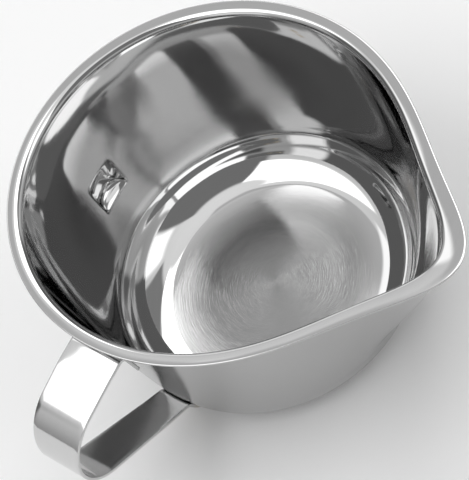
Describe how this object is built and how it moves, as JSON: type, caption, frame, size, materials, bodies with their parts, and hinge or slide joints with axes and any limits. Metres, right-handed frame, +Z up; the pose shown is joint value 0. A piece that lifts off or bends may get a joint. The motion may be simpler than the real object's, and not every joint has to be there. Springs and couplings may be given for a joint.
{
  "type": "candle melting pot",
  "caption": "Pressed stainless steel melting pot with a flanged rim, a wide pulled pouring spout, a pressed rest nub and a welded strap handle.",
  "frame": {"origin": "centre of the flat underside of the base", "axes": "+Z up out of the mouth, +X towards the pouring spout, handle on the -Y side"},
  "size_m": [0.1675, 0.1711, 0.08],
  "materials": {
    "bowl_steel": "mirror polished, with a circular brushed floor",
    "handle_steel": "polished, with a fine grain along the strap",
    "weld_steel": "fused, unpolished"
  },
  "bodies": {
    "root": {"pot_body": "bowl_steel", "strap_handle": "handle_steel", "spot_welds": "weld_steel"}
  },
  "joints": []
}
